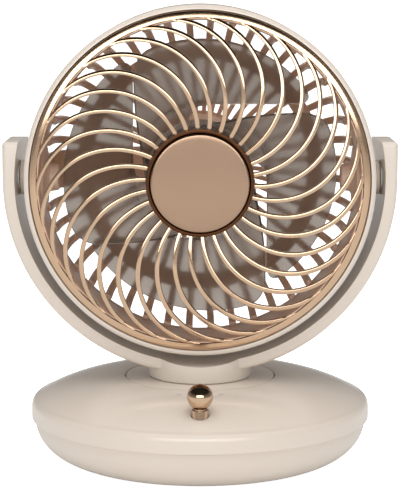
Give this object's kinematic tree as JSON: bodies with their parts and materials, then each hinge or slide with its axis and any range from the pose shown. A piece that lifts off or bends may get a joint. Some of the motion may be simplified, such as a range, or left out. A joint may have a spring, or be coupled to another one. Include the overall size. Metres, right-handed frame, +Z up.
{
  "type": "air circulator fan",
  "caption": "Desk air circulator: round head with swept front grille tilts in a U-shaped yoke that swings on a round weighted base with a ball knob.",
  "frame": {"origin": "centre of the footprint on the table, under the swivel axis", "axes": "+Z up, the fan blows towards -Y, +X to the right as seen from the front"},
  "size_m": [0.271, 0.2376, 0.319],
  "materials": {
    "cream_plastic": "satin moulded, fine grain",
    "rose_gold_plate": "metallic plating, satin to bright",
    "copper_disc": "satin anodised",
    "brown_plastic": "satin moulded",
    "smoke_plastic": "smoke-tinted, slightly see-through",
    "steel": "bright zinc",
    "iron": "as cast",
    "motor_can": "drawn can",
    "rubber": "matt",
    "acetal": "natural",
    "black_plastic": "fine texture",
    "board": "solder mask",
    "clear_lens": "polished"
  },
  "bodies": {
    "base": {"base_bowl": "cream_plastic", "base_cover": "cream_plastic", "ballast_plate": "iron", "foot_1": "rubber", "foot_2": "rubber", "foot_3": "rubber", "foot_4": "rubber", "base_screw_1": "steel", "base_screw_2": "steel", "base_screw_3": "steel", "base_screw_4": "steel", "board_screw_1": "steel", "board_screw_2": "steel", "motor_bracket": "steel", "bracket_screw_1": "steel", "bracket_screw_2": "steel", "drive_motor": "steel", "power_socket": "black_plastic", "encoder_body": "black_plastic", "control_board": "board", "knob_collar": "rose_gold_plate", "swivel_washer": "acetal", "lamp_pipe_left": "clear_lens", "lamp_pipe_right": "clear_lens"},
    "swivel": {"turntable": "cream_plastic", "swivel_gear": "acetal", "gear_screw_1": "steel", "gear_screw_2": "steel", "yoke_front_shell": "cream_plastic", "yoke_rear_shell": "cream_plastic", "yoke_screw_1": "steel", "yoke_screw_2": "steel", "yoke_screw_3": "steel", "yoke_screw_4": "steel", "neck_screw_1": "steel", "neck_screw_2": "steel", "neck_screw_3": "steel", "pivot_bush_left": "acetal", "pivot_bush_right": "acetal"},
    "head": {"housing": "cream_plastic", "pivot_pin_left": "steel", "pivot_pin_right": "steel", "friction_washer_left": "rubber", "friction_washer_right": "rubber", "front_grille": "rose_gold_plate", "grille_cap": "copper_disc", "duct_lining": "brown_plastic", "rear_basket": "brown_plastic", "rear_cap": "brown_plastic", "fan_motor": "motor_can", "motor_screw_1": "steel", "motor_screw_2": "steel", "motor_screw_3": "steel"},
    "blades": {"impeller": "smoke_plastic", "motor_shaft": "steel", "impeller_nut": "acetal"},
    "pinion": {"drive_pinion": "acetal"},
    "plunger": {"click_plate": "acetal"},
    "knob": {"knob_shaft": "rose_gold_plate", "knob_ball": "rose_gold_plate"}
  },
  "joints": [
    {"name": "swivel", "type": "hinge", "parent": "base", "child": "swivel", "pos_m": [0, 0, 0.057], "axis": [0, 0, 1], "range_deg": [-45, 45]},
    {"name": "pinion_turn", "type": "hinge", "parent": "base", "child": "pinion", "pos_m": [0.0375, 0, 0.0435], "axis": [0, 0, 1], "range_deg": [-180, 180]},
    {"name": "tilt", "type": "hinge", "parent": "swivel", "child": "head", "pos_m": [0, 0, 0.199], "axis": [-1, 0, 0], "range_deg": [-20, 90]},
    {"name": "blades_spin", "type": "hinge", "parent": "head", "child": "blades", "pos_m": [0, 0, 0.199], "axis": [0, 1, 0], "continuous": true},
    {"name": "knob_press", "type": "slide", "parent": "base", "child": "plunger", "axis": [0, 0, -1], "range_m": [0, 0.0008], "stiffness_N_per_m": 1500},
    {"name": "knob_turn", "type": "hinge", "parent": "plunger", "child": "knob", "pos_m": [0, -0.097, 0.05], "axis": [0, 0, 1], "continuous": true}
  ],
  "couplings": [
    {"joint": "pinion_turn", "follows": "swivel", "ratio": -4}
  ]
}
